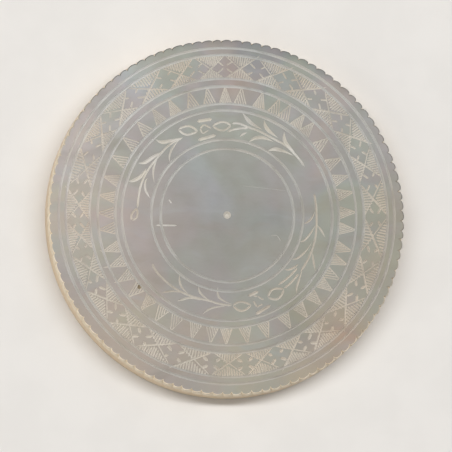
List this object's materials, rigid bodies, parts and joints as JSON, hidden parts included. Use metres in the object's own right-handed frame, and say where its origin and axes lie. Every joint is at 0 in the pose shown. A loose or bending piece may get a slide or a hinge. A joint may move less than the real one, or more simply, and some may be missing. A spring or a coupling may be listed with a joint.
{
  "type": "gaming counter",
  "caption": "Flat round gaming counter of mother-of-pearl with a nicked rim and a face engraved with ring lines, lozenges, triangles and leaf sprays.",
  "frame": {"origin": "middle of the plain back, on the surface that the counter lies on", "axes": "+Z out of the engraved face, +Y towards the top of the face as pictured, +X to its right"},
  "size_m": [0.0378, 0.0378, 0.003],
  "materials": {
    "mother_of_pearl": "polished shell, engraved lines left matt and pale, amber edge"
  },
  "bodies": {
    "root": {"counter_disc": "mother_of_pearl"}
  },
  "joints": []
}
